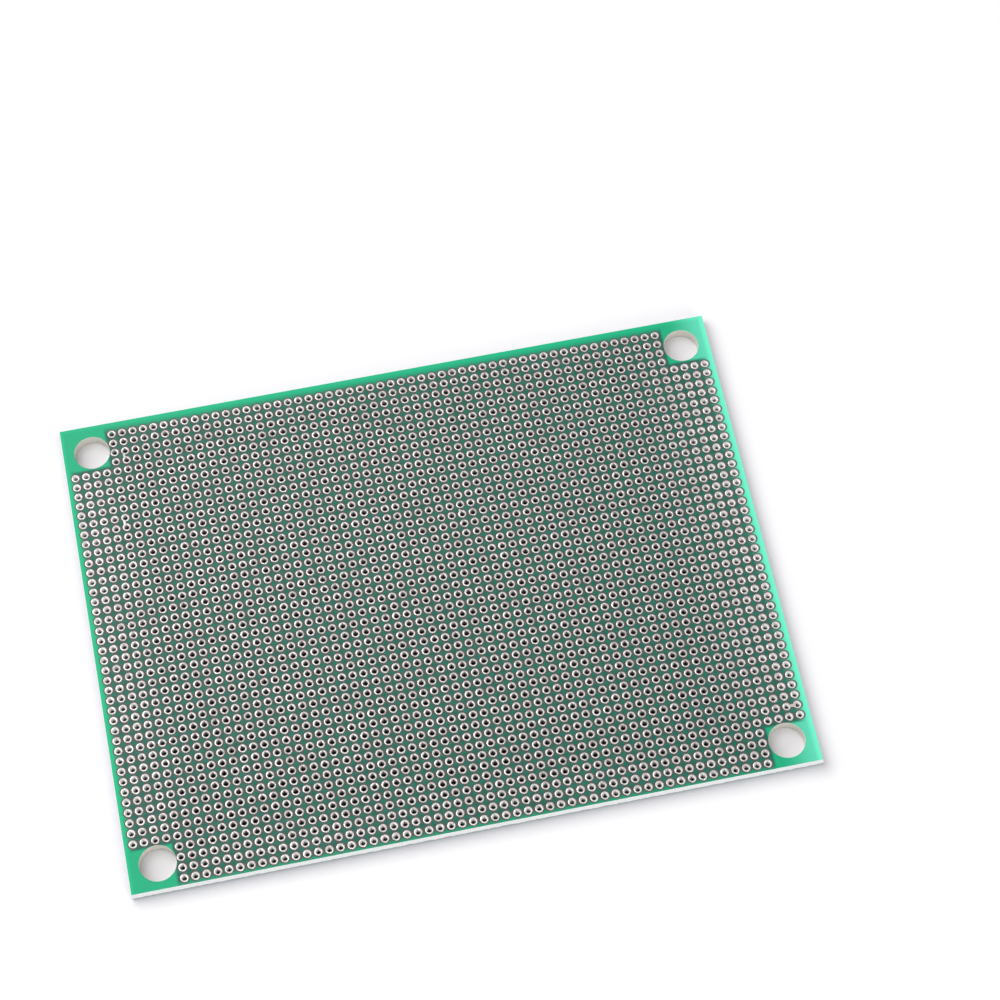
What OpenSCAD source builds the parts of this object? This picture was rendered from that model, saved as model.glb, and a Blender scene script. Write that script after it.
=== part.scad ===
// Prototype board with a grid of tinned, plated-through holes on a fine pitch.
// The board lies flat in the XY plane. The origin is under the middle of its outline.

/* [Board] */
// Length of the board along X
board_l = 79.9; // [79.5:0.1:90]
// Width of the board along Y
board_w = 59.7; // [59.3:0.1:70]
// Thickness of the glass-fibre laminate with its green mask
laminate_t = 1.5; // [0.8:0.1:3]
// Depth of the score cut into each face before the board was snapped out
score_depth = 0.35; // [0.1:0.05:0.38]
// Angle of a scored flank from the upright
score_angle = 16; // [8:1:25]

/* [Plated holes] */
// Distance between neighbouring holes
pitch = 1.27; // [1.25:0.005:1.27]
// Number of columns of holes along X
cols = 62; // [40:2:62]
// Number of rows of holes along Y
rows = 46; // [30:2:46]
// Columns and rows left out in the square at each corner
corner_skip = 4; // [4:1:6]
// Shift of the hole grid from the middle of the board along X
grid_shift_x = -0.07; // [-0.2:0.01:0.2]
// Shift of the hole grid from the middle of the board along Y
grid_shift_y = -0.39; // [-0.4:0.01:0.4]
// Diameter of the tinned pad around each hole
pad_d = 1.0; // [0.9:0.02:1.06]
// Diameter drilled through the laminate for the plating
drill_d = 0.65; // [0.6:0.01:0.75]
// Wall of the plating that lines the drilled hole
plating_t = 0.05; // [0.03:0.01:0.1]
// Height of the tin above the laminate at the mouth of a hole
tin_t = 0.05; // [0.03:0.01:0.09]

/* [Mounting holes] */
// Diameter of the four bare holes at the corners
mount_d = 4.3; // [3:0.1:4.3]
// Distance between the mounting holes along X
mount_spacing_x = 72.8; // [72.8:0.1:74]
// Distance between the mounting holes along Y
mount_spacing_y = 52.8; // [52.7:0.1:54]
// Shift of the mounting holes from the middle of the hole grid along X
mount_shift_x = 0.07; // [-0.07:0.01:0.07]
// Shift of the mounting holes from the middle of the hole grid along Y
mount_shift_y = 0.15; // [-0.15:0.01:0.2]

/* [Hidden] */
// Bands of rows from the near side to the far side, and groups of columns in each band
BANDS = ["near", "mid_near", "mid_far", "far"];
GROUPS = ["left", "centre", "right"];

// Steps that a round edge takes: only the look of the preview depends on them
hole_steps = 16;
mount_steps = 64;

pad_r = pad_d / 2;
drill_r = drill_d / 2;
bore_r = drill_r - plating_t;
mount_r = mount_d / 2;

// Underside of the laminate, which stands on the tin of its lower pads
laminate_z = tin_t;

// A scored flank falls away from the outline by this much at the face
score_run = score_depth * tan(score_angle);
// A cutter reaches past the faces and the outline by this much
over = 0.5;

// Centre of a column and of a row, counted from the left and from the near edge
function col_x(i) = (i - (cols - 1) / 2) * pitch + grid_shift_x;
function row_y(j) = (j - (rows - 1) / 2) * pitch + grid_shift_y;

// The rows at both ends are short, because the corner squares are left out of them
function skipped(j) = j < corner_skip || j >= rows - corner_skip ? corner_skip : 0;

// First row of a band and first column of a group, in whole rows and columns
function first_row(b) = round(b * rows / len(BANDS));
function first_col(g) = round(g * cols / len(GROUPS));

// A band ends halfway between two rows, or at the outline
function band_start(b) = b == 0 ? -board_w / 2 : row_y(first_row(b)) - pitch / 2;
function band_end(b) = b == len(BANDS) - 1 ? board_w / 2 : band_start(b + 1);

// Wedge that the score cutter takes off one side, drawn along X with the board behind it
module score_wedge(side_l) {
    slope = tan(score_angle);
    rotate([90, 0, 90])
        linear_extrude(side_l + 2 * over, center = true)
            polygon([[0, -score_depth], [score_run + over * slope, over], [-over, over], [-over, -score_depth]]);
}

// Score cuts along all four sides of one face
module score_cuts() {
    for (turn = [0, 180])
        rotate(turn) {
            translate([0, -board_w / 2]) score_wedge(board_l);
            rotate(90) translate([0, -board_l / 2]) score_wedge(board_w);
        }
}

// Outline of one band of the board, drilled for the plated holes and at the corners
module band_outline(b) {
    difference() {
        translate([-board_l / 2, band_start(b)])
            square([board_l, band_end(b) - band_start(b)]);
        for (j = [first_row(b) : first_row(b + 1) - 1], i = [skipped(j) : cols - 1 - skipped(j)])
            translate([col_x(i), row_y(j)])
                circle(r = drill_r, $fn = hole_steps);
        if (b == 0 || b == len(BANDS) - 1)
            for (side = [-1, 1])
                translate([grid_shift_x + mount_shift_x + side * mount_spacing_x / 2,
                           grid_shift_y + mount_shift_y + (b == 0 ? -1 : 1) * mount_spacing_y / 2])
                    circle(r = mount_r, $fn = mount_steps);
    }
}

// Drilled and scored laminate of one band of rows, which the next band meets face to face
module laminate(b) {
    color("mediumseagreen")
        difference() {
            translate([0, 0, laminate_z])
                linear_extrude(laminate_t) band_outline(b);
            translate([0, 0, laminate_z + laminate_t]) score_cuts();
            translate([0, 0, laminate_z]) mirror([0, 0, 1]) score_cuts();
        }
}

// One plated-through hole: a barrel in the drilled hole, with tin that thins towards the pad's edge
module plated_hole() {
    rotate_extrude($fn = hole_steps)
        polygon([
            [bore_r, -tin_t],
            [pad_r, 0],
            [drill_r, 0],
            [drill_r, laminate_t],
            [pad_r, laminate_t],
            [bore_r, laminate_t + tin_t]
        ]);
}

// Plated hole in its place in the grid
module placed_hole(i, j) {
    translate([col_x(i), row_y(j), laminate_z])
        plated_hole();
}

// Plated holes of the outermost column on each side
module side_holes() {
    color("gainsboro")
        for (i = [0, cols - 1], j = [corner_skip : rows - corner_skip - 1])
            placed_hole(i, j);
}

// Plated holes of one group of columns in one band of rows, between the outermost columns
module plated_holes(b, g) {
    color("gainsboro")
        for (j = [first_row(b) : first_row(b + 1) - 1]) {
            ends = max(1, skipped(j));
            for (i = [max(first_col(g), ends) : min(first_col(g + 1), cols - ends) - 1])
                placed_hole(i, j);
        }
}

side_holes();  // plated_holes_sides
for (b = [0 : len(BANDS) - 1]) {
    laminate(b);
    for (g = [0 : len(GROUPS) - 1])
        plated_holes(b, g);
}
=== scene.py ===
"""Looks of a prototype board: a green masked laminate with a fine grid of tinned plated-through holes."""

import logging
import math
import random
from dataclasses import dataclass
from enum import Enum
from functools import cached_property
from typing import Any

import bmesh
import bpy
from mathutils import Matrix, Vector, noise


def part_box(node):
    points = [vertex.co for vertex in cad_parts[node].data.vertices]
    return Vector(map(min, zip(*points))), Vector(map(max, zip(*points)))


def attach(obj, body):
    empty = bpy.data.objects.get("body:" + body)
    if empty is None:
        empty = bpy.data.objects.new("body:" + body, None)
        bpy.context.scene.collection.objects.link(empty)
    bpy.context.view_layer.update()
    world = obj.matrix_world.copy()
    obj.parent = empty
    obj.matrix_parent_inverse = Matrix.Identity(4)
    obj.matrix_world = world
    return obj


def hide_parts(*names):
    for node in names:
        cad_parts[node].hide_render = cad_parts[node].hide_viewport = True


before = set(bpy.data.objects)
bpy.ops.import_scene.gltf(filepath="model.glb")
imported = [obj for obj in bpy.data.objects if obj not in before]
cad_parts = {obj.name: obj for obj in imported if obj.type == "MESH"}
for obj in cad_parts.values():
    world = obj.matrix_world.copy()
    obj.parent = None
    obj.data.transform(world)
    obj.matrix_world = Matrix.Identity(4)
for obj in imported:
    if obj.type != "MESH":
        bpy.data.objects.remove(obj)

LOG = logging.getLogger("prototype_board")

MM = 0.001
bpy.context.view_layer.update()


class Band(Enum):
    """The four bands of rows, from the near side to the far side."""

    NEAR = 0
    MID_NEAR = 1
    MID_FAR = 2
    FAR = 3

    @property
    def laminate_node(self) -> str:
        """Name of the band's drilled laminate in the frame."""
        return f"laminate_{self.name.lower()}"

    @property
    def hole_nodes(self) -> list[str]:
        """Names of the band's groups of plated holes in the frame."""
        return [f"plated_holes_{self.name.lower()}_{group}" for group in ("left", "centre", "right")]


def linear(hex_colour: str) -> tuple[float, float, float, float]:
    """Turns an sRGB hex colour into a linear one.

    Args:
        hex_colour: Six hex digits, red first.

    Returns:
        Linear red, green and blue, with an alpha of 1.
    """
    channels = [int(hex_colour[i:i + 2], 16) / 255 for i in (0, 2, 4)]
    red, green, blue = (c / 12.92 if c <= 0.04045 else ((c + 0.055) / 1.055) ** 2.4 for c in channels)
    return (red, green, blue, 1.0)


def add(tree: bpy.types.NodeTree, kind: str, inputs: dict | None = None, **settings: Any) -> bpy.types.Node:
    """Adds a node to a tree, with its settings, values and links.

    Args:
        tree: The shader or geometry tree that gets the node.
        kind: The node's type name.
        inputs: Input socket, by index or name, to a value or to the output socket that feeds it.
        settings: The node's own properties.

    Returns:
        The new node.
    """
    node = tree.nodes.new(kind)
    for name, value in settings.items():
        setattr(node, name, value)
    for key, value in (inputs or {}).items():
        if isinstance(value, bpy.types.NodeSocket):
            tree.links.new(value, node.inputs[key])
        else:
            node.inputs[key].default_value = value
    return node


def maths(tree: bpy.types.NodeTree, operation: str, *values: Any) -> bpy.types.NodeSocket:
    """Joins values with one step of arithmetic.

    Args:
        tree: The tree that gets the step.
        operation: The name of the Math node's operation.
        values: Numbers or output sockets, in the operation's order.

    Returns:
        The socket with the result.
    """
    return add(tree, "ShaderNodeMath", dict(enumerate(values)), operation=operation).outputs[0]


def ramp(tree: bpy.types.NodeTree, value: Any, low: float, high: float,
         to_low: float = 0.0, to_high: float = 1.0) -> bpy.types.NodeSocket:
    """Eases a value smoothly from one level to another.

    Args:
        tree: The tree that gets the step.
        value: The number or socket that drives it.
        low: Value at which the result starts to change.
        high: Value at which the result has changed.
        to_low: Result at and below low.
        to_high: Result at and above high.

    Returns:
        The socket with the eased result.
    """
    node = add(tree, "ShaderNodeMapRange",
               {"Value": value, "From Min": low, "From Max": high, "To Min": to_low, "To Max": to_high},
               interpolation_type="SMOOTHSTEP")
    return node.outputs[0]


def mix(tree: bpy.types.NodeTree, factor: Any, first: Any, second: Any) -> bpy.types.NodeSocket:
    """Mixes two colours.

    Args:
        tree: The tree that gets the step.
        factor: Share of the second colour.
        first: First colour or its socket.
        second: Second colour or its socket.

    Returns:
        The socket with the mixed colour.
    """
    node = add(tree, "ShaderNodeMix", data_type="RGBA")
    sockets = [s for s in node.inputs if s.enabled]
    for socket, value in zip(sockets, (factor, first, second)):
        if isinstance(value, bpy.types.NodeSocket):
            tree.links.new(value, socket)
        else:
            socket.default_value = value
    return next(s for s in node.outputs if s.enabled)


@dataclass(frozen=True)
class BoardSizes:
    """Sizes of the board in millimetres, as in the solids, with pads and bores as wide as they look."""

    length: float = 79.9
    width: float = 59.7
    pitch: float = 1.27
    columns: int = 62
    rows: int = 46
    corner_skip: int = 4
    shift_x: float = -0.07
    shift_y: float = -0.39
    pad_radius: float = 0.53
    drill_radius: float = 0.325
    bore_radius: float = 0.305
    tin_height: float = 0.05
    score_depth: float = 0.35

    def pad_place(self, column: float, row: float) -> tuple[float, float]:
        """Middle of a hole, counted from the left column and the near row.

        Args:
            column: The column, or a place between two.
            row: The row, or a place between two.

        Returns:
            X and Y on the board.
        """
        x = (column - (self.columns - 1) / 2) * self.pitch + self.shift_x
        y = (row - (self.rows - 1) / 2) * self.pitch + self.shift_y
        return x, y

    @cached_property
    def bottom(self) -> float:
        """Height of the laminate's underside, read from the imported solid."""
        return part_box(Band.NEAR.laminate_node)[0].z / MM

    @cached_property
    def top(self) -> float:
        """Height of the laminate's upper face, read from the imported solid."""
        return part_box(Band.NEAR.laminate_node)[1].z / MM

    def first_row(self, band: int) -> int:
        """Number of a band's first row, counted from the near side.

        Args:
            band: The band's number.

        Returns:
            The row's number.
        """
        return math.floor(band * self.rows / len(Band) + 0.5)

    def half_field(self, skipped: int) -> tuple[float, float]:
        """Half the length and width of the hole field with some columns left out at each end.

        Args:
            skipped: Columns left out at each end; the rows that are whole follow from it.

        Returns:
            Half the extent along X and along Y.
        """
        kept_rows = self.rows if skipped else self.rows - 2 * self.corner_skip
        return (self.columns - 2 * skipped) * self.pitch / 2, kept_rows * self.pitch / 2


SIZES = BoardSizes()


@dataclass(frozen=True)
class SideFade:
    """For each side of the board, a level and how many millimetres it reaches inwards: painted light for
    the mask and the barrels, a plain mask for the bare sides.
    """

    left: tuple[float, float]
    right: tuple[float, float]
    far: tuple[float, float]
    near: tuple[float, float]
    full_within: float = 0.15


class BoardField:
    """Distances on the board that its finishes share, as sockets in a shader tree."""

    def __init__(self, tree: bpy.types.NodeTree) -> None:
        """Reads the object's coordinates in millimetres.

        Args:
            tree: The material's tree.
        """
        self.tree = tree
        coordinates = add(tree, "ShaderNodeTexCoord").outputs["Object"]
        scaled = add(tree, "ShaderNodeVectorMath", {0: coordinates, 1: (1 / MM,) * 3}, operation="MULTIPLY")
        self.position = scaled.outputs[0]
        parts = add(tree, "ShaderNodeSeparateXYZ", {0: self.position})
        self.x, self.y, self.z = parts.outputs

    def outside(self, half: tuple[float, float]) -> bpy.types.NodeSocket:
        """Distance outside a rectangle around the middle of the hole grid.

        Args:
            half: Half the rectangle's length and width.

        Returns:
            The socket with the distance, 0 inside.
        """
        beyond = []
        for value, shift, reach in ((self.x, SIZES.shift_x, half[0]), (self.y, SIZES.shift_y, half[1])):
            off_middle = maths(self.tree, "ABSOLUTE", maths(self.tree, "SUBTRACT", value, shift))
            beyond.append(maths(self.tree, "MAXIMUM", maths(self.tree, "SUBTRACT", off_middle, reach), 0.0))
        squares = [maths(self.tree, "MULTIPLY", b, b) for b in beyond]
        return maths(self.tree, "SQRT", maths(self.tree, "ADD", *squares))

    def from_field(self) -> bpy.types.NodeSocket:
        """Distance from the field of holes, whose corners are left out."""
        whole = self.outside(SIZES.half_field(0))
        narrow = self.outside(SIZES.half_field(SIZES.corner_skip))
        return maths(self.tree, "MINIMUM", whole, narrow)

    def fade_from_sides(self, light: SideFade) -> bpy.types.NodeSocket:
        """Level that is highest at each side and fades inwards: painted light that enters the laminate at
        its sides, and a plain mask of the sides for the bare fibre.

        Args:
            light: The level at each side and how far inwards it fades.

        Returns:
            The socket with the highest level at a place.
        """
        half_length, half_width = SIZES.length / 2, SIZES.width / 2
        sides = ((self.x, half_length, 1.0, light.left), (self.x, half_length, -1.0, light.right),
                 (self.y, half_width, -1.0, light.far), (self.y, half_width, 1.0, light.near))
        glow = 0.0
        for value, edge, sense, (strength, reach) in sides:
            inwards = maths(self.tree, "ADD", maths(self.tree, "MULTIPLY", value, sense), edge)
            lit = ramp(self.tree, inwards, light.full_within, reach, strength, 0.0)
            glow = maths(self.tree, "MAXIMUM", glow, lit)
        return glow

    def from_hole(self) -> bpy.types.NodeSocket:
        """Distance from the middle of the nearest plated hole, on the endless grid."""
        squares = []
        starts = ((self.x, SIZES.columns, SIZES.shift_x), (self.y, SIZES.rows, SIZES.shift_y))
        for value, count, shift in starts:
            first = shift - (count - 1) / 2 * SIZES.pitch
            steps = maths(self.tree, "DIVIDE", maths(self.tree, "SUBTRACT", value, first), SIZES.pitch)
            off = maths(self.tree, "SUBTRACT", steps, maths(self.tree, "ROUND", steps))
            squares.append(maths(self.tree, "MULTIPLY", off, off))
        in_steps = maths(self.tree, "SQRT", maths(self.tree, "ADD", *squares))
        return maths(self.tree, "MULTIPLY", in_steps, SIZES.pitch)

    def noise(self, cell: float, detail: float = 2.0, roughness: float = 0.5) -> bpy.types.NodeSocket:
        """Noise whose blotches are about one cell wide.

        Args:
            cell: Width of a blotch in millimetres.
            detail: Finer layers of the noise.
            roughness: Weight of the finer layers.

        Returns:
            The socket with the noise, about 0.5 on average.
        """
        node = add(self.tree, "ShaderNodeTexNoise",
                   {"Vector": self.position, "Scale": 1 / cell, "Detail": detail, "Roughness": roughness})
        return node.outputs["Fac"]


def new_material(name: str) -> tuple[bpy.types.Material, bpy.types.NodeTree, bpy.types.Node]:
    """Makes a material with one surface shader.

    Args:
        name: The material's name.

    Returns:
        The material, its tree and its surface shader.
    """
    material = bpy.data.materials.new(name)
    material.use_nodes = True
    tree = material.node_tree
    tree.nodes.clear()
    shader = add(tree, "ShaderNodeBsdfPrincipled")
    add(tree, "ShaderNodeOutputMaterial", {"Surface": shader.outputs[0]})
    return material, tree, shader


@dataclass(frozen=True)
class MaskedLaminate:
    """Glass-fibre laminate under a screen-printed green solder mask.

    The thin glossy mask is teal between the holes. At the border it is mint, painted light that comes
    through the laminate, brightest along the right side. The sawn and snapped sides are bare, pale and
    fibrous, with painted shade on their lower half.
    Lengths are in millimetres. A pair is the range over which one look eases into the other.
    """

    mint: str = "12C088"
    mint_painted_light: str = "6FF5CC"
    teal: str = "1A6258"
    teal_dark: str = "16504C"
    outline: str = "5A4D47"
    fibre: str = "EFF0EE"
    fibre_shade: str = "DFE1E0"
    torn_fibre_shade: str = "A3AAB0"
    hole_wall: str = "D2CFC5"
    yarn: float = 0.6
    weave_depth: float = 0.02
    weave_strength: float = 0.35
    mottle: tuple[float, float] = (0.35, 0.65)
    face_slope: tuple[float, float] = (0.5, 0.8)
    roughness: float = 0.38
    side_roughness: float = 0.75
    specular: float = 0.3
    bright_strip: float = 5.0
    # Painted light that comes through the laminate: its strength at each side and how far in it reaches;
    # open_glow is the same for the bare margin around the hole field.
    glow: SideFade = SideFade(left=(0.95, 1.5), right=(1.0, 2.2), far=(0.9, 1.9), near=(0.45, 1.0))
    open_glow: float = 0.75
    open_from: float = -0.1
    open_to: float = 0.4
    outline_reach: float = 0.12
    outline_fade: float = 0.07
    field_fade: float = 0.05
    fibre_width: float = 0.15
    fibre_mottle: tuple[float, float] = (0.4, 0.65)
    tear_length: float = 0.5
    tear_height: float = 0.7
    tear_from: float = 0.05
    tear_to: float = 0.25
    bare_sides: SideFade = SideFade(left=(1.0, 0.6), right=(1.0, 0.6), far=(1.0, 0.6), near=(1.0, 0.6))

    def material(self) -> bpy.types.Material:
        """Builds the material on the board's own coordinates."""
        material, tree, shader = new_material("solder_mask_on_glass_fibre_laminate")
        board = BoardField(tree)
        mask = self.mask_colour(tree, board)
        side = self.side_colour(tree, board)
        normal = add(tree, "ShaderNodeNewGeometry").outputs["True Normal"]
        upright = maths(tree, "ABSOLUTE", add(tree, "ShaderNodeSeparateXYZ", {0: normal}).outputs[2])
        on_face = ramp(tree, upright, *self.face_slope)
        roughness = ramp(tree, on_face, 0.0, 1.0, self.side_roughness, self.roughness)
        tree.links.new(mix(tree, on_face, side, mask), shader.inputs["Base Color"])
        tree.links.new(roughness, shader.inputs["Roughness"])
        shader.inputs["Specular IOR Level"].default_value = self.specular
        bump = add(tree, "ShaderNodeBump",
                   {"Strength": self.weave_strength, "Distance": self.weave_depth * MM,
                    "Height": board.noise(self.yarn / 2)})
        tree.links.new(bump.outputs[0], shader.inputs["Normal"])
        return material

    def mask_colour(self, tree: bpy.types.NodeTree, board: BoardField) -> bpy.types.NodeSocket:
        """Colour of the mask: teal between the holes, mint at the border as painted light, brown around
        each pad.

        Args:
            tree: The material's tree.
            board: Distances on the board.

        Returns:
            The socket with the colour.
        """
        from_field = board.from_field()
        clouds = ramp(tree, board.noise(self.yarn, detail=1.0), *self.mottle)
        between = mix(tree, clouds, linear(self.teal_dark), linear(self.teal))
        # Painted light: the mint grows brighter over the last bright_strip millimetres at the right side.
        to_right = ramp(tree, board.x, SIZES.length / 2 - self.bright_strip, SIZES.length / 2)
        lit = mix(tree, to_right, linear(self.mint), linear(self.mint_painted_light))
        # Painted light: mint in the open margin beyond the hole field, and from each side.
        in_open = ramp(tree, from_field, self.open_from, self.open_to, 0.0, self.open_glow)
        glow = maths(tree, "MAXIMUM", board.fade_from_sides(self.glow), in_open)
        ground = mix(tree, glow, between, lit)
        in_field = ramp(tree, from_field, self.field_fade, 0.0)
        outer = SIZES.pad_radius + self.outline_reach
        inner = ramp(tree, board.from_hole(), outer, outer - self.outline_fade)
        return mix(tree, maths(tree, "MULTIPLY", inner, in_field), ground, linear(self.outline))

    def side_colour(self, tree: bpy.types.NodeTree, board: BoardField) -> bpy.types.NodeSocket:
        """Colour of the bare fibre at the sides and in the mounting holes, with painted shade on the lower
        half of the sides.

        Args:
            tree: The material's tree.
            board: Distances on the board.

        Returns:
            The socket with the colour.
        """
        fibres = ramp(tree, board.noise(self.fibre_width, detail=4.0, roughness=0.7), *self.fibre_mottle)
        pale = mix(tree, fibres, linear(self.fibre_shade), linear(self.fibre))
        middle = (SIZES.top + SIZES.bottom) / 2
        # Painted shade: the lower half of each side is grey, its edge ragged where the web tore.
        tear = maths(tree, "MULTIPLY", board.noise(self.tear_length, detail=3.0), self.tear_height)
        ragged = maths(tree, "ADD", board.z, tear)
        low = ramp(tree, ragged, middle + self.tear_to, middle + self.tear_from)
        torn_and_shaded = mix(tree, low, pale, linear(self.torn_fibre_shade))
        return mix(tree, board.fade_from_sides(self.bare_sides), linear(self.hole_wall), torn_and_shaded)


@dataclass(frozen=True)
class HotAirTin:
    """Tin from a hot-air-levelled bath: a bright, slightly uneven metal skin, brownish grey at a pad's rim.

    Inside the barrels the colour is a dull grey of painted shade, which turns pale as painted light near
    the board's sides.
    Lengths are in millimetres: from the pad's edge for the rim, from the laminate's faces for mouth and
    foot, and from the bore for its own ends of bright and dark.
    """

    tin: str = "F4F1EF"
    dull: str = "C8C3BF"
    rim: str = "B4AAA4"
    # Painted shade: the dull grey inside the bores; the next colour is painted light near the board's
    # sides.
    barrel: str = "8A8584"
    barrel_painted_light: str = "F0EFED"
    cloud_width: float = 0.45
    dulled: tuple[float, float] = (0.35, 0.7)
    clouded: tuple[float, float] = (0.3, 0.7)
    smoothest: float = 0.42
    roughest: float = 0.58
    rim_inside: float = 0.02
    rim_outside: float = 0.01
    mouth_bright: float = 0.046
    mouth_dark: float = 0.026
    foot_bright: float = 0.05
    foot_dark: float = 0.01
    bore_bright: float = 0.10
    bore_dark: float = 0.07
    dimple_width: float = 0.22
    dimple_depth: float = 0.03
    dimple_strength: float = 0.5
    # Painted light in the barrels: how strong it is at each side and how far inwards it reaches.
    glow: SideFade = SideFade(left=(0.85, 9.5), right=(1.0, 12.0), far=(0.4, 4.5), near=(0.7, 6.5))

    def material(self) -> bpy.types.Material:
        """Builds the material on the board's coordinates and each pad's own."""
        material, tree, shader = new_material("hot_air_levelled_tin")
        board = BoardField(tree)
        local = add(tree, "ShaderNodeAttribute", attribute_name="pad_place").outputs["Vector"]
        from_axis = add(tree, "ShaderNodeVectorMath", {0: local}, operation="LENGTH").outputs["Value"]
        cloud = board.noise(self.cloud_width, detail=3.0)
        metal = mix(tree, ramp(tree, cloud, *self.dulled), linear(self.tin), linear(self.dull))
        rim_start, rim_end = SIZES.pad_radius - self.rim_inside, SIZES.pad_radius + self.rim_outside
        at_rim = ramp(tree, from_axis, rim_start * MM, rim_end * MM)
        on_pad = mix(tree, at_rim, metal, linear(self.rim))
        inside = self.in_barrel(tree, board, from_axis)
        # Painted shade inside the bore, turning to painted light near the board's sides.
        bore = mix(tree, board.fade_from_sides(self.glow), linear(self.barrel), linear(self.barrel_painted_light))
        roughness = ramp(tree, cloud, *self.clouded, self.smoothest, self.roughest)
        tree.links.new(mix(tree, inside, on_pad, bore), shader.inputs["Base Color"])
        tree.links.new(roughness, shader.inputs["Roughness"])
        tree.links.new(maths(tree, "SUBTRACT", 1.0, inside), shader.inputs["Metallic"])
        dimples = board.noise(self.dimple_width, detail=1.0)
        bump = add(tree, "ShaderNodeBump",
                   {"Strength": self.dimple_strength, "Distance": self.dimple_depth * MM,
                    "Height": dimples})
        tree.links.new(bump.outputs[0], shader.inputs["Normal"])
        return material

    def in_barrel(self, tree: bpy.types.NodeTree, board: BoardField,
                  from_axis: bpy.types.NodeSocket) -> bpy.types.NodeSocket:
        """Finds the inside of a barrel, which sees little light and gets painted shade.

        Args:
            tree: The material's tree.
            board: Distances on the board.
            from_axis: Distance from the pad's own axis, in metres.

        Returns:
            The socket that is 1 inside the barrel and 0 on the pad.
        """
        below_mouth = ramp(tree, board.z, SIZES.top + self.mouth_bright, SIZES.top + self.mouth_dark)
        above_foot = ramp(tree, board.z, SIZES.bottom - self.foot_bright, SIZES.bottom - self.foot_dark)
        outer, inner = SIZES.bore_radius + self.bore_bright, SIZES.bore_radius + self.bore_dark
        in_bore = ramp(tree, from_axis, outer * MM, inner * MM)
        return maths(tree, "MULTIPLY", maths(tree, "MULTIPLY", below_mouth, above_foot), in_bore)


@dataclass(frozen=True)
class StudioPaper:
    """Matt white paper that the board lies on. For the camera it adds white, which makes it plain white
    away from the board; under the board and close beside it that white is left out, which paints deeper
    shade in the holes and in the board's shadow.

    Lengths are in millimetres beside the board.
    """

    paper: str = "F1F0F2"
    roughness: float = 0.9
    shows_white: float = 0.11
    white_beyond: float = 2.2
    shows_white_far: float = 0.42
    far_from: float = 100.0
    far_to: float = 800.0

    def material(self) -> bpy.types.Material:
        """Builds the material, which adds white only for the camera."""
        material, tree, shader = new_material("matt_studio_paper")
        shader.inputs["Base Color"].default_value = linear(self.paper)
        shader.inputs["Roughness"].default_value = self.roughness
        shader.inputs["Specular IOR Level"].default_value = 0.0
        board = BoardField(tree)
        beside = board.outside((SIZES.length / 2, SIZES.width / 2))
        # Painted shade: no white is added under the board and it eases in over white_beyond, which darkens
        # the holes and the board's shadow.
        near = ramp(tree, beside, 0.0, self.white_beyond, 0.0, self.shows_white)
        far = ramp(tree, beside, self.far_from, self.far_to, 0.0, self.shows_white_far)
        shown = maths(tree, "ADD", near, far)
        glow = add(tree, "ShaderNodeEmission", {"Color": (1.0, 1.0, 1.0, 1.0), "Strength": shown})
        seen = add(tree, "ShaderNodeLightPath").outputs["Is Camera Ray"]
        nothing = add(tree, "ShaderNodeEmission", {"Strength": 0.0})
        extra = add(tree, "ShaderNodeMixShader", {0: seen, 1: nothing.outputs[0], 2: glow.outputs[0]})
        both = add(tree, "ShaderNodeAddShader", {0: shader.outputs[0], 1: extra.outputs[0]})
        output = next(n for n in tree.nodes if n.bl_idname == "ShaderNodeOutputMaterial")
        tree.links.new(both.outputs[0], output.inputs["Surface"])
        return material


def mesh_object(name: str, points: list, faces: list) -> bpy.types.Object:
    """Makes a smooth-shaded mesh object at the origin.

    Args:
        name: The object's name.
        points: The mesh's points in metres.
        faces: The faces, as lists of point numbers.

    Returns:
        The new object, in the scene.
    """
    mesh = bpy.data.meshes.new(name)
    mesh.from_pydata(points, [], faces)
    mesh.polygons.foreach_set("use_smooth", [True] * len(faces))
    mesh.update()
    made = bpy.data.objects.new(name, mesh)
    bpy.context.scene.collection.objects.link(made)
    return made


@dataclass(frozen=True)
class HoleBlock:
    """A block of the hole grid that is one piece in the scene, and the solids that it stands for."""

    name: str
    nodes: list[str]
    columns: int
    spacing: float
    first_row: int
    end_row: int

    @classmethod
    def blocks(cls, sizes: BoardSizes) -> list["HoleBlock"]:
        """Lists one block for each band of rows, and one for the outermost column on both sides.

        Args:
            sizes: Sizes of the board.

        Returns:
            The blocks, from the near band to the far band and then the sides.
        """
        bands = [cls(f"tinned_holes_{band.name.lower()}", band.hole_nodes, sizes.columns - 2, sizes.pitch,
                     sizes.first_row(band.value), sizes.first_row(band.value + 1)) for band in Band]
        sides = cls("tinned_holes_sides", ["plated_holes_sides"], 2, (sizes.columns - 1) * sizes.pitch,
                    sizes.corner_skip, sizes.rows - sizes.corner_skip)
        return bands + [sides]


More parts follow.
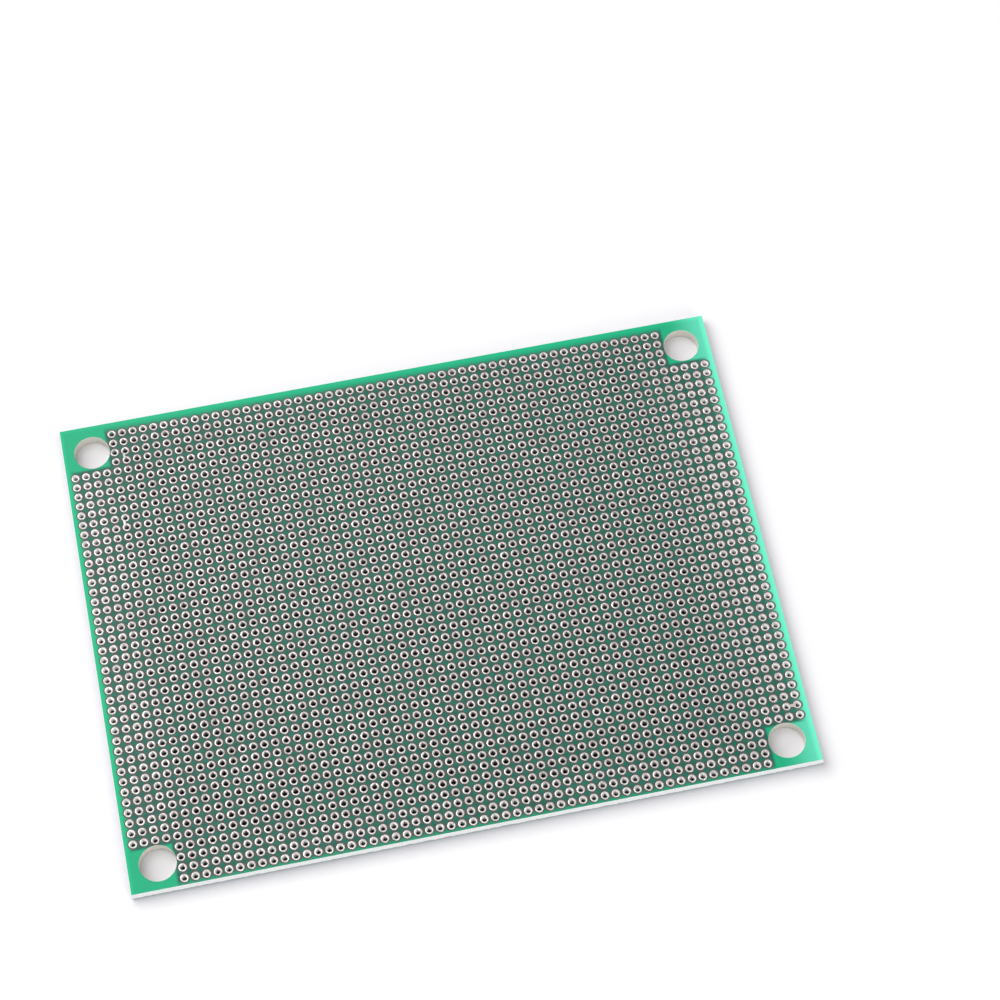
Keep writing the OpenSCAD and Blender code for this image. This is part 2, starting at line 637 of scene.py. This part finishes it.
@dataclass
class PlatedHoles:
    """The tinned plated holes: one domed pad above and below, joined by the barrel.

    The tin pinches each mouth on both sides of its far end, which gives it a slight point there.
    Lengths are in millimetres, angles around the hole in degrees, and the turn in radians.
    """

    sizes: BoardSizes = SIZES
    around: int = 10
    shoulder_width: float = 0.05
    shoulder_share: float = 0.8
    mouth: float = 0.315
    flare: float = 0.082
    pinch: float = 0.15
    pinch_at: float = 50.0
    pinch_spread: float = 26.0
    tip: float = 0.015
    tip_spread: float = 22.0
    turn: float = 0.25
    waviness: float = 0.055
    wave_length: float = 0.5
    wave_middle: float = 0.55
    wave_gain: float = 3.0
    seed: float = 3.7

    def section(self, angle: float) -> list[tuple[float, float]]:
        """Closed section of one plated hole, as radius and height above the laminate's underside.

        Args:
            angle: Angle around the hole in radians, from the right.

        Returns:
            Points from the upper rim over the tin, down the bore and back through the drilled hole.
        """
        s = self.sizes
        top, high = s.top - s.bottom, s.tin_height
        from_far = abs((math.degrees(angle) - 90 + 180) % 360 - 180)
        pinched = self.pinch * math.exp(-((from_far - self.pinch_at) / self.pinch_spread) ** 2)
        mouth = self.mouth - pinched + self.tip * math.exp(-(from_far / self.tip_spread) ** 2)
        return [
            (s.pad_radius, top), (s.pad_radius - self.shoulder_width, top + high * self.shoulder_share),
            (mouth + self.flare, top + high), (mouth, top), (s.bore_radius, -high), (s.pad_radius, 0.0),
            (s.drill_radius, 0.0), (s.drill_radius, top),
        ]

    def pattern(self, tin: bpy.types.Material) -> bpy.types.Object:
        """Makes the one plated hole that the grid repeats, with its axis on the origin.

        Args:
            tin: The finish of the pads and barrels.

        Returns:
            The object that the tree repeats.
        """
        points = []
        for k in range(self.around):
            angle = math.pi / 2 + 2 * math.pi * k / self.around
            section = self.section(angle)
            points += [(r * math.cos(angle) * MM, r * math.sin(angle) * MM, z * MM) for r, z in section]
        count = len(section)
        faces = []
        for k in range(self.around):
            here, there = k * count, (k + 1) % self.around * count
            for i in range(count):
                j = (i + 1) % count
                faces.append((here + i, there + i, there + j, here + j))
        made = mesh_object("plated_hole_pattern", points, faces)
        turn_outwards(made.data)
        made.data.materials.append(tin)
        place = made.data.attributes.new("pad_place", "FLOAT_VECTOR", "POINT")
        place.data.foreach_set("vector", [c for x, y, _ in points for c in (x, y, 0.0)])
        return made

    def tree(self) -> bpy.types.NodeTree:
        """Builds the tree that lays out one block of the grid and makes each pad a little uneven.

        Returns:
            The geometry tree, with named inputs for its sizes.
        """
        tree = bpy.data.node_groups.new("plated_hole_grid", "GeometryNodeTree")
        face = tree.interface
        face.new_socket("Geometry", in_out="OUTPUT", socket_type="NodeSocketGeometry")
        face.new_socket("Geometry", in_out="INPUT", socket_type="NodeSocketGeometry")
        for name, kind in (("Pattern", "Object"), ("Columns", "Int"), ("Rows", "Int"),
                           ("Column Spacing", "Float"), ("Row Spacing", "Float"),
                           ("Middle", "Vector"), ("Corner", "Vector"),
                           ("Waviness", "Float"), ("Seed", "Float"), ("Tin", "Material")):
            face.new_socket(name, in_out="INPUT", socket_type=f"NodeSocket{kind}")
        given = add(tree, "NodeGroupInput").outputs
        steps_x = maths(tree, "SUBTRACT", given["Columns"], 1.0)
        steps_y = maths(tree, "SUBTRACT", given["Rows"], 1.0)
        grid = add(tree, "GeometryNodeMeshGrid",
                   {"Size X": maths(tree, "MULTIPLY", steps_x, given["Column Spacing"]),
                    "Size Y": maths(tree, "MULTIPLY", steps_y, given["Row Spacing"]),
                    "Vertices X": given["Columns"], "Vertices Y": given["Rows"]})
        laid = add(tree, "GeometryNodeSetPosition",
                   {"Geometry": grid.outputs["Mesh"], "Offset": given["Middle"]})
        place = add(tree, "GeometryNodeInputPosition").outputs[0]
        away = add(tree, "ShaderNodeVectorMath", {0: place}, operation="ABSOLUTE").outputs[0]
        parts = add(tree, "ShaderNodeSeparateXYZ", {0: away}).outputs
        limit = add(tree, "ShaderNodeSeparateXYZ", {0: given["Corner"]}).outputs
        in_corner = maths(tree, "MULTIPLY", maths(tree, "GREATER_THAN", parts[0], limit[0]),
                          maths(tree, "GREATER_THAN", parts[1], limit[1]))
        kept = add(tree, "GeometryNodeDeleteGeometry",
                   {"Geometry": laid.outputs[0], "Selection": in_corner})
        turn = add(tree, "FunctionNodeRandomValue", data_type="FLOAT")
        least, most = [socket for socket in turn.inputs if socket.enabled][:2]
        least.default_value, most.default_value = -self.turn, self.turn
        around_z = next(socket for socket in turn.outputs if socket.enabled)
        turned = add(tree, "ShaderNodeCombineXYZ", {2: around_z}).outputs[0]
        pattern = add(tree, "GeometryNodeObjectInfo", {"Object": given["Pattern"]}).outputs["Geometry"]
        many = add(tree, "GeometryNodeInstanceOnPoints",
                   {"Points": kept.outputs[0], "Instance": pattern, "Rotation": turned})
        real = add(tree, "GeometryNodeRealizeInstances", {"Geometry": many.outputs[0]})
        wavy = self.uneven(tree, real.outputs[0], given)
        painted = add(tree, "GeometryNodeSetMaterial", {"Geometry": wavy, "Material": given["Tin"]})
        add(tree, "NodeGroupOutput", {0: painted.outputs[0]})
        return tree

    def uneven(self, tree: bpy.types.NodeTree, geometry: bpy.types.NodeSocket,
               given: Any) -> bpy.types.NodeSocket:
        """Moves the tin in and out by a noise that differs from pad to pad.

        Args:
            tree: The geometry tree.
            geometry: The plated holes, as one mesh.
            given: The tree's own inputs.

        Returns:
            The geometry with its tin moved.
        """
        place = add(tree, "GeometryNodeInputPosition").outputs[0]
        per_metre = 1 / (self.wave_length * MM)
        waves = add(tree, "ShaderNodeTexNoise",
                    {"Vector": place, "W": given["Seed"], "Scale": per_metre, "Detail": 1.0},
                    noise_dimensions="4D")
        centred = maths(tree, "SUBTRACT", waves.outputs["Fac"], self.wave_middle)
        normal = add(tree, "GeometryNodeInputNormal").outputs[0]
        level = add(tree, "ShaderNodeVectorMath", {0: normal, 1: (1.0, 1.0, 0.0)}, operation="MULTIPLY")
        wave = maths(tree, "MULTIPLY", centred, given["Waviness"])
        amount = maths(tree, "MULTIPLY", wave, self.wave_gain)
        moved = add(tree, "ShaderNodeVectorMath", {0: level.outputs[0], "Scale": amount}, operation="SCALE")
        offset = moved.outputs[0]
        return add(tree, "GeometryNodeSetPosition", {"Geometry": geometry, "Offset": offset}).outputs[0]

    def build(self, tin: bpy.types.Material) -> None:
        """Makes one piece for each block of the grid and puts it in the place of its CAD nodes.

        Args:
            tin: The finish of the pads and barrels.
        """
        s = self.sizes
        pattern = self.pattern(tin)
        tree = self.tree()
        corner = Vector((s.half_field(s.corner_skip)[0], s.half_field(0)[1], 0.0)) * MM
        place = Matrix.Translation(Vector((s.shift_x, s.shift_y, s.bottom)) * MM)
        for number, block in enumerate(HoleBlock.blocks(s)):
            middle_row = (block.first_row + block.end_row - s.rows) / 2
            values = {"Pattern": pattern, "Columns": block.columns, "Rows": block.end_row - block.first_row,
                      "Column Spacing": block.spacing * MM, "Row Spacing": s.pitch * MM,
                      "Middle": Vector((0.0, middle_row * s.pitch, 0.0)) * MM, "Corner": corner,
                      "Waviness": self.waviness * MM, "Seed": self.seed + number, "Tin": tin}
            carrier = mesh_object(f"{block.name}_carrier", [], [])
            mesh = grown_mesh(carrier, tree, values)
            bpy.data.objects.remove(carrier)
            mesh.transform(place)
            piece = bpy.data.objects.new(block.name, mesh)
            bpy.context.scene.collection.objects.link(piece)
            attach(piece, "root")
            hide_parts(*block.nodes)
            LOG.info("%s: %d faces", block.name, len(mesh.polygons))
        bpy.data.objects.remove(pattern)


def turn_outwards(mesh: bpy.types.Mesh) -> None:
    """Turns a closed mesh's faces outwards.

    Args:
        mesh: The mesh to mend.
    """
    shape = bmesh.new()
    shape.from_mesh(mesh)
    bmesh.ops.recalc_face_normals(shape, faces=shape.faces)
    shape.to_mesh(mesh)
    shape.free()


def grown_mesh(carrier: bpy.types.Object, tree: bpy.types.NodeTree,
               values: dict[str, Any]) -> bpy.types.Mesh:
    """Runs a geometry tree on an object and takes the result as a plain mesh.

    Args:
        carrier: The object that carries the tree for a moment.
        tree: The geometry tree.
        values: The tree's inputs by name.

    Returns:
        The plain mesh that the tree made.
    """
    modifier = carrier.modifiers.new("grown", "NODES")
    modifier.node_group = tree
    sockets = {s.name: s.identifier for s in tree.interface.items_tree if s.in_out == "INPUT"}
    for name, value in values.items():
        modifier[sockets[name]] = value
    bpy.context.view_layer.update()
    evaluated = carrier.evaluated_get(bpy.context.evaluated_depsgraph_get())
    mesh = bpy.data.meshes.new_from_object(evaluated)
    carrier.modifiers.remove(modifier)
    return mesh


@dataclass(frozen=True)
class Fleck:
    """One drop of stray tin: its column and row, its turn in degrees and its halves in millimetres."""

    column: float
    row: float
    turn: float
    half_length: float
    half_width: float


@dataclass
class TinFlecks:
    """Stray tin: bridges between neighbouring pads and lumps at a pad's edge, on the upper face."""

    sizes: BoardSizes = SIZES
    around: int = 10
    rings: int = 5
    half_thickness_share: float = 0.45
    lift_share: float = 0.5
    swell: float = 0.28
    swell_waves: float = 1.7
    swell_seed_step: float = 5.3
    flecks: tuple[Fleck, ...] = (
        Fleck(4.84, 42.5, 90.0, 0.34, 0.17),
        Fleck(3.86, 35.5, 90.0, 0.34, 0.18),
        Fleck(34.82, 30.42, 75.0, 0.17, 0.13),
        Fleck(50.95, 33.42, 108.0, 0.26, 0.15),
        Fleck(60.5, 5.0, 0.0, 0.40, 0.20),
    )

    def lump(self, shape: bmesh.types.BMesh, fleck: Fleck, seed: int) -> None:
        """Adds one flattened, uneven drop of tin.

        Args:
            shape: The mesh that gets the drop.
            fleck: The drop's place and size.
            seed: Number that makes the drop's unevenness its own.
        """
        half_thickness = self.sizes.tin_height * self.half_thickness_share
        own = Vector((seed * self.swell_seed_step, 0.0, 0.0))
        loops = []
        for ring in range(1, self.rings):
            tilt = math.pi * ring / self.rings
            loop = []
            for step in range(self.around):
                angle = 2 * math.pi * step / self.around
                wide = math.sin(tilt)
                point = Vector((wide * math.cos(angle), wide * math.sin(angle), math.cos(tilt)))
                swell = 1.0 + self.swell * noise.noise(point * self.swell_waves + own)
                drop = Vector((point.x * fleck.half_length * swell, point.y * fleck.half_width * swell,
                               point.z * half_thickness))
                loop.append(shape.verts.new(self.on_board(drop, fleck)))
            loops.append(loop)
        ends = (Vector((0.0, 0.0, half_thickness)), Vector((0.0, 0.0, -half_thickness)))
        poles = [shape.verts.new(self.on_board(end, fleck)) for end in ends]
        for step in range(self.around):
            after = (step + 1) % self.around
            shape.faces.new((poles[0], loops[0][step], loops[0][after]))
            shape.faces.new((poles[1], loops[-1][after], loops[-1][step]))
            for upper, lower in zip(loops, loops[1:]):
                shape.faces.new((upper[step], lower[step], lower[after], upper[after]))

    def on_board(self, point: Vector, fleck: Fleck) -> Vector:
        """Turns and moves a drop's point to its place on the upper face.

        Args:
            point: The point around the drop's middle, in millimetres.
            fleck: The drop's place and size.

        Returns:
            The point in metres.
        """
        x, y = self.sizes.pad_place(fleck.column, fleck.row)
        lift = self.sizes.top + self.sizes.tin_height * self.lift_share
        return (Matrix.Rotation(math.radians(fleck.turn), 4, "Z") @ point + Vector((x, y, lift))) * MM

    def build(self, tin: bpy.types.Material) -> None:
        """Makes all drops as one piece.

        Args:
            tin: The finish of the tin.
        """
        shape = bmesh.new()
        for seed, fleck in enumerate(self.flecks):
            self.lump(shape, fleck, seed)
        bmesh.ops.recalc_face_normals(shape, faces=shape.faces)
        piece = mesh_object("tin_flecks", [], [])
        shape.to_mesh(piece.data)
        shape.free()
        piece.data.polygons.foreach_set("use_smooth", [True] * len(piece.data.polygons))
        piece.data.materials.append(tin)
        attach(piece, "root")
        LOG.info("tin_flecks: %d faces", len(piece.data.polygons))


@dataclass
class TornEdges:
    """Torn glass fibre along the snapped web between the two score cuts, on all four sides.

    Lengths are in millimetres: proud and sunk are measured from the board's outline.
    """

    sizes: BoardSizes = SIZES
    step: float = 0.14
    levels: int = 7
    proud: float = 0.07
    sunk: float = 0.12
    backing: float = 0.1
    over_score: float = 0.05
    least_tear: float = 0.35
    shortest_fibre: float = -0.6
    roundness: float = 0.5
    seed: int = 5

    def side(self, shape: bmesh.types.BMesh, length: float, reach: float, turn: float,
             rng: random.Random) -> None:
        """Adds the torn strip of one side.

        Args:
            shape: The mesh that gets the strip.
            length: Length of the side in millimetres.
            reach: Distance of the side from the middle in millimetres.
            turn: Turn of the side around Z in degrees.
            rng: Source of the fibres' reach.
        """
        s = self.sizes
        low, high = s.bottom + s.score_depth - self.over_score, s.top - s.score_depth + self.over_score
        count = max(2, round(length / self.step))
        spin = Matrix.Rotation(math.radians(turn), 4, "Z")
        columns = []
        for i in range(count + 1):
            along = -length / 2 + length * i / count
            tear = rng.uniform(self.least_tear, 1.0)
            loop = []
            for k in range(self.levels + 1):
                share = k / self.levels
                bulge = math.sin(math.pi * share) ** self.roundness if 0 < share < 1 else 0.0
                fibre = self.sunk + self.proud * rng.uniform(self.shortest_fibre, 1.0)
                out = reach - self.sunk + bulge * fibre * tear
                up = low + (high - low) * share
                loop.append(shape.verts.new(spin @ (Vector((along, -out, up)) * MM)))
            inner = reach - self.sunk - self.backing
            for up in (high, low):
                loop.append(shape.verts.new(spin @ (Vector((along, -inner, up)) * MM)))
            columns.append(loop)
        for here, there in zip(columns, columns[1:]):
            for k in range(len(here)):
                m = (k + 1) % len(here)
                shape.faces.new((here[k], there[k], there[m], here[m]))
        shape.faces.new(columns[0])
        shape.faces.new(columns[-1])

    def build(self, fibre: bpy.types.Material) -> None:
        """Makes the strips of all four sides as one piece.

        Args:
            fibre: The finish of the bare glass fibre.
        """
        s = self.sizes
        rng = random.Random(self.seed)
        shape = bmesh.new()
        for turn, length, reach in ((0, s.length, s.width / 2), (90, s.width, s.length / 2),
                                    (180, s.length, s.width / 2), (270, s.width, s.length / 2)):
            self.side(shape, length - 2 * self.sunk, reach, turn, rng)
        bmesh.ops.recalc_face_normals(shape, faces=shape.faces)
        piece = mesh_object("torn_fibre_edges", [], [])
        shape.to_mesh(piece.data)
        shape.free()
        piece.data.materials.append(fibre)
        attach(piece, "root")
        LOG.info("torn_fibre_edges: %d faces", len(piece.data.polygons))


@dataclass
class Laminate:
    """The drilled laminate, which keeps its solids and gets its finish."""

    bands: tuple[Band, ...] = tuple(Band)

    def dress(self, finish: bpy.types.Material) -> None:
        """Puts the finish on the solids of all bands.

        Args:
            finish: The masked laminate's material.
        """
        for band in self.bands:
            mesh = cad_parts[band.laminate_node].data
            mesh.materials.clear()
            mesh.materials.append(finish)
            LOG.info("%s: %d faces", band.laminate_node, len(mesh.polygons))


@dataclass(frozen=True)
class SoftLamp:
    """A square soft lamp that faces the board: its place and side in metres, and its power in watts."""

    name: str
    place: tuple[float, float, float]
    side: float
    watts: float


@dataclass
class Studio:
    """Paper, lamps, world and camera, none of which is part of the board.

    The camera's place, direction and focal length were fitted to the holes and corners in the photograph.
    Lengths without a unit in their name are in metres.
    """

    floor_half: float = 1.5
    image_px: float = 1000.0
    focal_px: float = 2803.2
    sensor_mm: float = 36.0
    camera_mm: tuple[float, float, float] = (-18.88, -133.92, 302.16)
    looks_along: tuple[float, float, float] = (0.08752, 0.43020, -0.89848)
    upwards: tuple[float, float, float] = (0.18227, 0.87986, 0.43888)
    sees_from: float = 0.01
    sees_to: float = 10.0
    world_light: str = "F7F8FA"
    world_strength: float = 0.50
    lamps: tuple[SoftLamp, ...] = (
        SoftLamp("back_lamp", (-0.40, 0.30, 0.52), 0.8, 4.8),
        SoftLamp("front_lamp", (0.2, -0.75, 0.30), 0.5, 2.9),
    )

    def build_floor(self, paper: bpy.types.Material) -> None:
        """Lays the paper under the board.

        Args:
            paper: The paper's material.
        """
        h = self.floor_half
        floor = mesh_object("paper_floor", [(-h, -h, 0), (h, -h, 0), (h, h, 0), (-h, h, 0)], [(0, 1, 2, 3)])
        floor.data.materials.append(paper)

    def build_world(self) -> None:
        """Surrounds the board with even white light, which the camera sees as plain white."""
        world = bpy.data.worlds.new("white_studio")
        bpy.context.scene.world = world
        world.use_nodes = True
        tree = world.node_tree
        tree.nodes.clear()
        lit = add(tree, "ShaderNodeBackground",
                  {"Color": linear(self.world_light), "Strength": self.world_strength})
        white = add(tree, "ShaderNodeBackground", {"Color": (1.0, 1.0, 1.0, 1.0), "Strength": 1.0})
        seen = add(tree, "ShaderNodeLightPath").outputs["Is Camera Ray"]
        both = add(tree, "ShaderNodeMixShader", {0: seen, 1: lit.outputs[0], 2: white.outputs[0]})
        add(tree, "ShaderNodeOutputWorld", {"Surface": both.outputs[0]})

    def build_lamp(self, lamp: SoftLamp) -> None:
        """Adds one lamp and turns it to the board.

        Args:
            lamp: The lamp's name, place, size and power.
        """
        data = bpy.data.lights.new(lamp.name, "AREA")
        data.shape = "SQUARE"
        data.size = lamp.side
        data.energy = lamp.watts
        made = bpy.data.objects.new(lamp.name, data)
        bpy.context.scene.collection.objects.link(made)
        made.location = lamp.place
        made.rotation_euler = (-Vector(lamp.place)).to_track_quat("-Z", "Y").to_euler()

    def build_camera(self) -> None:
        """Stands the camera where the photograph was taken from."""
        data = bpy.data.cameras.new("camera")
        data.sensor_width = self.sensor_mm
        data.lens = self.focal_px / self.image_px * self.sensor_mm
        data.clip_start, data.clip_end = self.sees_from, self.sees_to
        camera = bpy.data.objects.new("camera", data)
        bpy.context.scene.collection.objects.link(camera)
        ahead, up = Vector(self.looks_along).normalized(), Vector(self.upwards).normalized()
        right = ahead.cross(up).normalized()
        up = right.cross(ahead)
        turn = Matrix((right, up, -ahead)).transposed().to_4x4()
        camera.matrix_world = Matrix.Translation(Vector(self.camera_mm) * MM) @ turn
        bpy.context.scene.camera = camera

    def build(self) -> None:
        """Makes the whole studio."""
        bpy.context.scene.view_settings.view_transform = "Standard"
        self.build_camera()
        self.build_floor(StudioPaper().material())
        self.build_world()
        for lamp in self.lamps:
            self.build_lamp(lamp)


def main() -> None:
    """Builds the studio, then the board's pieces in order."""
    logging.basicConfig(level=logging.INFO, format="%(message)s")
    Studio().build()
    laminate, tin = MaskedLaminate().material(), HotAirTin().material()
    Laminate().dress(laminate)
    TornEdges().build(laminate)
    PlatedHoles().build(tin)
    TinFlecks().build(tin)


if __name__ == "__main__":
    main()
